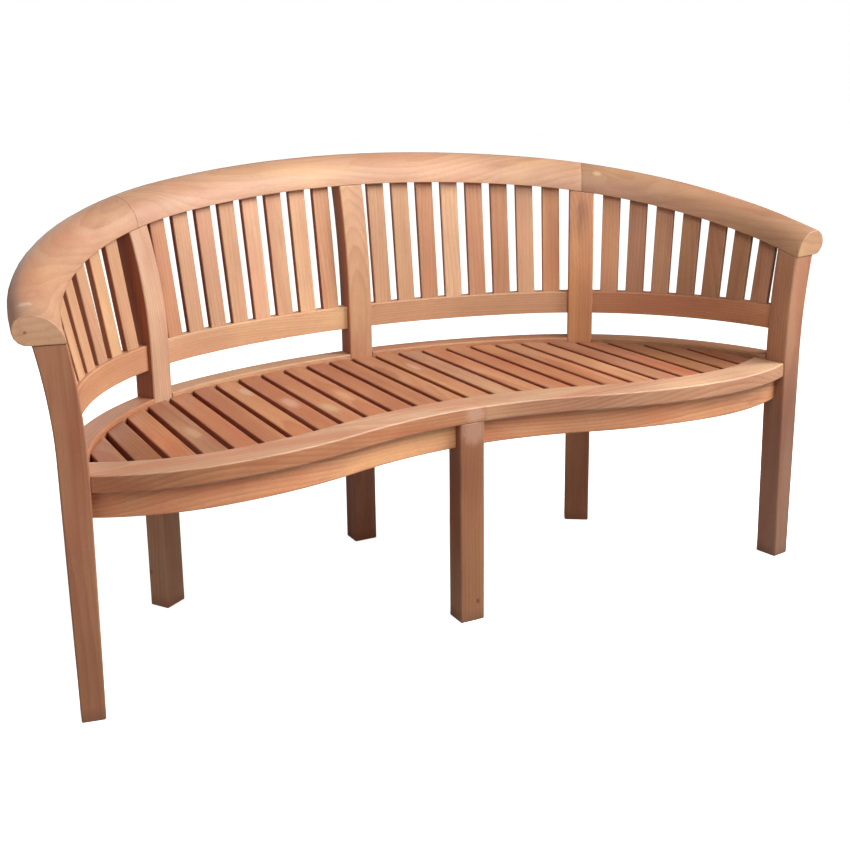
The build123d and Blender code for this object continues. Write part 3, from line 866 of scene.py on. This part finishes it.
@dataclass
class Back(SubAssembly):
    """Top rail, lower rails and slats of the wrap-round back.

    Attributes:
        finish: Teak finish of the slats and lower rails.
        top_finish: Paler teak of the top rail.
        top_rail: The three lengths of top rail.
        bays: The four bays, from left to right.
        curve: Plan of the back.
        slat_width: Width of a back slat, in metres.
        post_widths: Width of the posts along the back by their turn, in metres.
        slat_painted_shade: Painted shade on the slats' narrow sides, for the shade in the gaps
            between them.
        slat_lean: How far the slats lean out, beside their height.
        arm_ease: How far the rims of the arm ends are eased, in metres.
        joint_ease: How far the rims are eased where two lengths of top rail meet, in metres.
        ease_steps: Facets of an eased rim.
        flat_within: How far a corner of an end face may lie from its plane, in metres.
        weld_within: How close two corners must lie to be one, in metres.
        sharp_from: Angle from which an edge stays sharp, in degrees.
    """

    finish: TeakFinish = TeakFinish()
    top_finish: TeakFinish = TeakFinish(
        sapwood=paint(188, 146, 116), heartwood=paint(176, 130, 100), streak=paint(146, 98, 70),
        straw=paint(200, 158, 116), rose=paint(180, 126, 98), end_shade=(1.25, 1.30, 1.25, 1.0),
        # Darker edges, rims and joint lines on the top rail.
        rubbed=paint(150, 98, 64),
    )
    top_rail: tuple[Plank, ...] = (
        Plank("top_rail_left", "amber", (-ARM_TURN, -POST_TURN), marks=(
            # The first two marks are painted shade on the outer side of the arm rail.
            Mark((-0.8, -0.09, 0.715), (0.085, 0.2, 0.08), paint(172, 100, 56), 0.55, 0.3),
            Mark((-0.735, 0.055, 0.735), (0.09, 0.12, 0.07), paint(172, 100, 56), 0.4, 0.3),
            Mark((-0.789, -0.2731, 0.6565), (0.0035, 0.006, 0.0028), paint(96, 66, 46), 0.7, 0.9),
            Mark((-0.78, -0.238, 0.6937), (0.015, 0.008, 0.008), paint(214, 190, 174), 0.45, 1.6),
        ), swirl=(-0.7641, -0.2048, 0.7023), swirl_size=0.016),
        Plank(
            "top_rail_center", "tan", (-POST_TURN, POST_TURN), swirl=(-0.475, 0.160, 0.797),
            swirl_size=0.034,
        ),
        # Its darker tone is partly its own colour and partly painted shade on the inner slope of
        # the right arm.
        Plank("top_rail_right", "walnut", (POST_TURN, ARM_TURN), marks=(
            Mark((0.536, 0.119, 0.786), (0.011, 0.013, 0.008), paint(206, 170, 124), 0.5, 1.0),
        ), swirl=(0.536, 0.119, 0.786), swirl_size=0.030),
    )
    bays: tuple[Bay, ...] = (
        Bay("left_wing", (-ARM_TURN, -POST_TURN), ("tan", "russet"), (
            "straw", "straw", "straw", "straw", "ash", "straw", "straw",
        )),
        Bay("left_center", (-POST_TURN, 0.0), ("pale", "straw"), (
            "copper", "straw", "straw", "straw", "ivory", "straw", "pale", "tan",
        )),
        Bay("right_center", (0.0, POST_TURN), ("straw", "amber"), (
            "straw", "straw", "amber", "ivory", "tan", "amber", "pale", "honey",
        )),
        # Darker tones on this bay's rails and slats: partly the boards' own colour, partly painted
        # shade on the wing's inner side, which faces away from the light.
        Bay("right_wing", (POST_TURN, ARM_TURN), ("copper", "walnut"), (
            "amber", "brown", "brown", "walnut", "walnut", "walnut", "brown",
        )),
    )
    curve: BackCurve = BackCurve()
    slat_width: float = 0.038
    post_widths: dict[float, float] = field(
        default_factory=lambda: {0.0: 0.053, POST_TURN: 0.053, ARM_TURN: 0.047}
    )
    # Painted shade on the narrow sides of the back slats.
    slat_painted_shade: Colour = (0.66, 0.34, 0.23, 1.0)
    slat_lean: float = 0.13
    arm_ease: float = 0.0022
    joint_ease: float = 0.0009
    ease_steps: int = 2
    flat_within: float = 0.0002
    weld_within: float = 0.00002
    sharp_from: float = 42.0

    def chord(self, turns: Pair) -> tuple[Triple, Triple]:
        """Direction of a board between two turns, and the direction out of its face.

        Args:
            turns: Turns of the board's two ends, in degrees.

        Returns:
            The grain's direction and the face's direction.
        """
        middle = math.radians(sum(turns) / 2)
        sine, cosine = math.sin(middle), math.cos(middle)
        return (cosine, -sine, 0.0), (sine, cosine, 0.0)

    def ease_ends(self, turns: Pair) -> None:
        """Ease the rims of both ends of the rail that is being edited.

        Args:
            turns: Turns of the rail's two ends, in degrees.
        """
        mesh = bpy.context.object.data
        for turn in turns:
            ahead = Vector(self.chord((turn, turn))[0])
            outer = max if turn == max(turns) else min
            bpy.ops.mesh.select_mode(type="FACE")
            bpy.ops.mesh.select_all(action="DESELECT")
            shape = bmesh.from_edit_mesh(mesh)
            reach = outer(vertex.co.dot(ahead) for vertex in shape.verts)
            for face in shape.faces:
                depths = (abs(vertex.co.dot(ahead) - reach) for vertex in face.verts)
                if max(depths) < self.flat_within:
                    face.select_set(True)
            bmesh.update_edit_mesh(mesh)
            bpy.ops.mesh.dissolve_faces()
            bpy.ops.mesh.select_mode(type="EDGE")
            bpy.ops.mesh.region_to_loop()
            width = self.arm_ease if abs(turn) == ARM_TURN else self.joint_ease
            bpy.ops.mesh.bevel(offset=width, segments=self.ease_steps, affect="EDGES")

    def smooth_rail(self, length: Plank) -> Any:
        """Copy a length of top rail as one smooth worked surface.

        Args:
            length: The length of top rail.

        Returns:
            The new piece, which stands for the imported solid.
        """
        solid = self.nodes[length.name]
        rest_all()
        piece = solid.copy()
        piece.data = solid.data.copy()
        piece.name = length.name + "_worked"
        bpy.context.scene.collection.objects.link(piece)
        piece.parent = None
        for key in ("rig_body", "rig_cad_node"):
            if key in piece:
                del piece[key]
        piece.select_set(True)
        bpy.context.view_layer.objects.active = piece
        bpy.ops.object.mode_set(mode="EDIT")
        bpy.ops.mesh.select_all(action="SELECT")
        bpy.ops.mesh.remove_doubles(threshold=self.weld_within)
        bpy.ops.mesh.customdata_custom_splitnormals_clear()
        self.ease_ends(length.turns)
        bpy.ops.object.mode_set(mode="OBJECT")
        bpy.ops.object.shade_smooth_by_angle(angle=math.radians(self.sharp_from))
        even = piece.modifiers.new("even_shading", "WEIGHTED_NORMAL")
        even.keep_sharp = True
        bpy.ops.object.modifier_apply(modifier=even.name)
        rest_all()
        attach(piece, "root")
        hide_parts(length.name)
        return piece

    def dress_top_rail(self) -> None:
        """Shape the top rail and give each length its own board."""
        for number, length in enumerate(self.top_rail):
            self.board(self.top_finish, replace(
                length, along=self.chord(length.turns)[0], seed=21.0 + number * 2.3,
                ring_width=0.0150, wander=0.045,
            ), self.smooth_rail(length))

    def dress_bay(self, bay: Bay, number: int) -> None:
        """Give the two rails of one bay their boards, and its slats their tones.

        Args:
            bay: The bay.
            number: The bay's place in the row, from 0.
        """
        along, face = self.chord(bay.turns)
        kinds = (("lower_back_rail_", Sawing.QUARTER), ("back_seat_rail_", Sawing.PLAIN))
        for step, (board, sawing) in enumerate(kinds):
            self.board(self.finish, Plank(
                board + bay.name, bay.rails[step], bay.turns, along, face, sawing,
                seed=31.0 + number * 1.9 + step * 7.7, ring_width=0.0058,
            ))
        first, last = bay.turns
        start = self.curve.length(first) + self.post_widths[abs(first)] / 2
        end = self.curve.length(last) - self.post_widths[abs(last)] / 2
        count = len(bay.slats)
        gap = (end - start - count * self.slat_width) / (count + 1)
        tones = tuple(TINT[tone] for tone in bay.slats)
        upright = (face[0] * self.slat_lean, face[1] * self.slat_lean, 1.0)
        self.board(self.finish, Plank(
            "back_slats_" + bay.name, "tan", bay.turns, upright, face, Sawing.RIFT,
            seed=51.0 + number * 3.3, ring_width=0.0075, side_painted_shade=self.slat_painted_shade,
        ), fan=Fan(self.curve, start + gap / 2, gap + self.slat_width, tones))

    def dress(self) -> None:
        """Shape the top rail and give each rail and slat its own board."""
        self.dress_top_rail()
        for number, bay in enumerate(self.bays):
            self.dress_bay(bay, number)


@dataclass
class Seat(SubAssembly):
    """Front rail, aprons, slats, ledgers and bearers of the seat.

    Attributes:
        finish: Teak finish of the seat.
        slat_painted_shade: Painted shade on the slats' narrow sides, for the shade in the gaps
            between them.
        front_rail: The two halves of the front rail; the painted side shade shows on their fronts.
        apron_tone: Tint of the aprons.
        patches: Pale patches of sapwood by number of the slat.
        slat_tones_with_painted_shade: Tint of each seat slat from left to right; the dark tints at
            both ends are partly painted shade from the arms.
        slat_sawings: How the slats were sawn, in turn.
        hidden_tone: Tint of the ledgers and bearers.
    """

    finish: TeakFinish = TeakFinish(
        heartwood=paint(170, 110, 76), streak=paint(104, 52, 32), rose=paint(176, 104, 72)
    )
    # Painted shade on the narrow sides of the seat slats, for the shade in the gaps.
    slat_painted_shade: Colour = (0.74, 0.42, 0.31, 1.0)
    front_rail: tuple[Plank, ...] = (
        # Painted shade on both halves' front faces, which are darker than the lit tops.
        Plank("left", "dusty", marks=(
            Mark((0.006, -0.2499, 0.407), (0.026, 0.012, 0.02), paint(196, 160, 142), 0.45, 0.6),
        ), side_painted_shade=(0.79, 0.58, 0.42, 1.0)),
        Plank("right", "dusty", side_painted_shade=(0.87, 0.74, 0.66, 1.0)),
    )
    apron_tone: str = "cream"
    patches: dict[int, Mark] = field(default_factory=lambda: {
        4: Mark((-0.496, -0.14, 0.42), (0.016, 0.045, 0.012), paint(196, 158, 128), 0.55),
        7: Mark((-0.32, 0.069, 0.42), (0.014, 0.04, 0.012), paint(206, 176, 158), 0.5),
        8: Mark((-0.275, -0.045, 0.42), (0.018, 0.05, 0.012), paint(204, 172, 148), 0.5),
        9: Mark((-0.223, -0.115, 0.42), (0.018, 0.045, 0.012), paint(198, 166, 126), 0.6),
        10: Mark((-0.165, -0.05, 0.42), (0.012, 0.06, 0.012), paint(204, 170, 132), 0.35),
        14: Mark((0.055, 0.08, 0.42), (0.01, 0.04, 0.012), paint(205, 180, 160), 0.4),
    })
    # The dark tints of the end slats are partly painted shade where the arms shade the seat.
    slat_tones_with_painted_shade: tuple[str, ...] = (
        "brown", "umber", "rose", "brown", "copper", "russet", "rose", "copper", "copper",
        "copper", "russet", "russet", "amber", "amber", "ash", "amber", "copper", "copper",
        "tan", "tan", "brown", "russet", "umber", "umber", "umber",
    )
    slat_sawings: tuple[Sawing, ...] = (Sawing.PLAIN, Sawing.RIFT, Sawing.HEART)
    hidden_tone: str = "brown"

    def dress_slats(self) -> None:
        """Give each seat slat its own board."""
        for number, tone in enumerate(self.slat_tones_with_painted_shade):
            patch = self.patches.get(number + 1)
            self.board(self.finish, Plank(
                f"seat_slat_{number + 1:02d}", tone, along=AHEAD, ring_width=0.0060,
                sawing=self.slat_sawings[number % len(self.slat_sawings)],
                seed=71.0 + number * 1.3, marks=(patch,) if patch else (),
                side_painted_shade=self.slat_painted_shade,
            ))

    def dress_front(self) -> None:
        """Give the halves of the front rail and the aprons their boards."""
        for side, half in zip((-1, 1), self.front_rail):
            rail = replace(
                half, name="front_seat_rail_" + half.name, along=(1.0, side * 0.02, 0.0),
                seed=111.0 + side * 2.1, ring_width=0.0070,
            )
            self.board(self.finish, rail)
            self.board(self.finish, replace(
                rail, name="front_apron_" + half.name, tone=self.apron_tone, seed=rail.seed + 5.0,
                marks=(), side_painted_shade=None,
            ))

    def dress(self) -> None:
        """Give every board of the seat its own teak."""
        self.dress_slats()
        self.dress_front()
        hidden = [name for name in self.nodes if name.startswith(("seat_ledger", "seat_bearer"))]
        for number, name in enumerate(hidden):
            self.board(self.finish, Plank(
                name, self.hidden_tone, sawing=Sawing.RIFT, seed=131.0 + number * 1.7,
                along=AHEAD if name.startswith("seat_bearer") else (1.0, 0.0, 0.0),
            ))


@dataclass(frozen=True)
class BrassFinish:
    """Dull brass of the ledger screws.

    Attributes:
        bright: Colour where it is rubbed.
        dull: Colour where it has browned.
        gloss: Roughness of the bright brass.
    """

    bright: Colour = paint(200, 164, 92)
    dull: Colour = paint(122, 92, 52)
    gloss: float = 0.28

    def material(self, name: str) -> Any:
        """Make the brass.

        Args:
            name: The material's name.

        Returns:
            The new material.
        """
        made, graph = new_material(name)
        place = graph.node("ShaderNodeTexCoord")["Object"]
        tarnish = graph.remap(graph.noise(place, Noise.TARNISH), Edge.TARNISH)
        graph.show(graph.node("ShaderNodeBsdfPrincipled", {
            "Base Color": graph.blend(self.bright, self.dull, tarnish), "Metallic": 1.0,
            "Roughness": graph.plus(self.gloss, graph.times(tarnish, Share.TARNISH_ROUGH)),
        })[0])
        return made


@dataclass
class Fixings(SubAssembly):
    """Pegs and screws that lock the joints.

    Attributes:
        finish: Teak of the pegs.
        peg: Grain of the pegs.
        brass: Brass of the screws.
    """

    finish: TeakFinish = TeakFinish()
    peg: Plank = Plank(
        "pegs", "umber", along=AHEAD, sawing=Sawing.RIFT, seed=151.0, ring_width=0.0018,
        middle=(0.0, 0.2, 0.38),
    )
    brass: BrassFinish = BrassFinish()

    def dress(self) -> None:
        """Dress the pegs and screws."""
        dress(self.nodes["joint_pegs"], self.finish.material(self.peg, self.groups))
        dress(self.nodes["ledger_screws"], self.brass.material("brass_screws"))


@dataclass(frozen=True)
class Lamp:
    """One soft light of the studio.

    Attributes:
        name: Its name.
        place: Where it hangs, in metres; a sun shines from there to its aim.
        aim: The point that it faces, in metres.
        power: Its power in watts; for a sun, in watts per square metre.
        size: Side of the square lamp, in metres; 0 for a sun.
        spread: How wide a sun is, in degrees.
    """

    name: str
    place: Triple
    aim: Triple
    power: float
    size: float = 0.0
    spread: float = 0.0

    def hang(self) -> None:
        """Put the light in the scene."""
        data = bpy.data.lights.new(self.name, "AREA" if self.size else "SUN")
        data.energy = self.power
        if self.size:
            data.size = self.size
        else:
            data.angle = math.radians(self.spread)
        light = bpy.data.objects.new(self.name, data)
        bpy.context.scene.collection.objects.link(light)
        light.location = self.place
        ahead = Vector(self.aim) - Vector(self.place)
        light.rotation_euler = ahead.to_track_quat("-Z", "Y").to_euler()


@dataclass
class Studio:
    """Pale floor, soft lights and the camera.

    Attributes:
        eye: The camera's place, in metres.
        yaw: Heading of the view to the right of +Y, in radians.
        pitch: How far the view looks down, in radians.
        roll: How far the camera leans, in radians.
        reach: Focal length in pixels of the photograph.
        middle: Where the view's axis meets the photograph, in pixels.
        frame: The photograph's width and height, in pixels.
        sensor: Width of the camera's sensor, in millimetres.
        clip_end: How far the camera sees, in metres.
        lamps: The lights, of which the key light is the strongest.
        air: Brightness of the air that lights the bench; the camera sees it white.
        bounce: Paleness of the floor that lights the bench from below.
        floor_white: Paleness of the floor that the camera sees.
        floor_glow: Light that this floor gives of itself, to look like lit paper.
        floor_size: Side of the floor, in metres.
    """

    eye: Triple = (-1.0994, -2.1002, 1.0340)
    yaw: float = 0.423342
    pitch: float = 0.236044
    roll: float = -0.0289793
    reach: float = 1222.963
    middle: Pair = (337.785, 358.713)
    frame: float = 850.0
    sensor: float = 36.0
    clip_end: float = 60.0
    lamps: tuple[Lamp, ...] = (
        Lamp("key_light", (1.6, -1.0, 2.0), (0.0, 0.1, 0.5), 64.0, size=1.3),
        Lamp("front_light", (0.0, -1.3, 1.6), (0.0, 0.2, 0.6), 19.5, size=1.0),
        Lamp("left_light", (-2.3, -1.0, 0.9), (0.0, 0.0, 0.4), 9.0, size=1.4),
        Lamp("rear_light", (-0.6, 2.3, 1.6), (0.0, 0.1, 0.5), 14.0, size=1.6),
        Lamp("right_light", (0.82, -0.34, 0.46), (0.0, 0.0, 0.0), 1.2, spread=50.0),
    )
    air: float = 0.13
    bounce: float = 0.46
    floor_white: float = 0.92
    floor_glow: float = 0.84
    floor_size: float = 24.0

    @staticmethod
    def grey(level: float) -> Colour:
        """Plain grey of a brightness from 0 to 1."""
        return (level, level, level, 1.0)

    def lay_floor(self) -> None:
        """Lay the floor."""
        rest_all()
        bpy.ops.mesh.primitive_plane_add(size=self.floor_size, location=(0.0, 0.0, 0.0))
        ground = bpy.context.object
        ground.name = "studio_floor"
        made, graph = new_material("pale_floor")
        seen = graph.node("ShaderNodeBsdfPrincipled", {
            "Base Color": self.grey(self.floor_white), "Roughness": 1.0, "Specular IOR Level": 0.0,
            "Emission Color": self.grey(1.0), "Emission Strength": self.floor_glow,
        })[0]
        lighting = graph.node("ShaderNodeBsdfDiffuse", {"Color": self.grey(self.bounce)})[0]
        looked_at = graph.node("ShaderNodeLightPath")["Is Camera Ray"]
        graph.show(graph.node("ShaderNodeMixShader", {0: looked_at, 1: lighting, 2: seen})[0])
        ground.data.materials.append(made)

    def light(self) -> None:
        """Fill the air and hang the lamps."""
        world = bpy.data.worlds.new("studio_air")
        bpy.context.scene.world = world
        world.use_nodes = True
        graph = Graph(world.node_tree)
        looked_at = graph.node("ShaderNodeLightPath")["Is Camera Ray"]
        air = graph.blend(self.grey(self.air), self.grey(1.0), looked_at)
        graph.feed(world.node_tree.nodes["Background"].inputs["Color"], air)
        for lamp in self.lamps:
            lamp.hang()
        bpy.context.scene.view_settings.view_transform = "Standard"

    def place_camera(self) -> None:
        """Place the camera at the photograph's viewing angle."""
        level = Vector((math.cos(self.yaw), -math.sin(self.yaw), 0.0))
        heading = Vector((math.sin(self.yaw), math.cos(self.yaw), 0.0))
        ahead = math.cos(self.pitch) * heading - math.sin(self.pitch) * Vector(UP)
        upright = level.cross(ahead)
        right = math.cos(self.roll) * level + math.sin(self.roll) * upright
        up = -math.sin(self.roll) * level + math.cos(self.roll) * upright
        data = bpy.data.cameras.new("studio_camera")
        data.sensor_width = self.sensor
        data.lens = self.reach / self.frame * self.sensor
        data.shift_x = (self.frame / 2 - self.middle[0]) / self.frame
        data.shift_y = (self.middle[1] - self.frame / 2) / self.frame
        data.clip_end = self.clip_end
        eye = bpy.data.objects.new("studio_camera", data)
        bpy.context.scene.collection.objects.link(eye)
        turned = Matrix((right, up, -ahead)).transposed().to_4x4()
        eye.matrix_world = Matrix.Translation(self.eye) @ turned
        bpy.context.scene.camera = eye

    def build(self) -> None:
        """Build the whole studio."""
        self.lay_floor()
        self.light()
        self.place_camera()
        log.info("studio: floor, %d lights and camera", len(self.lamps))


def main() -> None:
    """Dress the bench and build the studio."""
    logging.basicConfig(level=logging.INFO, format="%(name)s: %(message)s")
    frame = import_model()
    nodes, groups = frame["nodes"], ShopGroups.build()
    for kind in (Frame, Back, Seat, Fixings):
        kind(nodes, groups).dress()
    Studio().build()
    rest_all()


if __name__ == "__main__":
    main()
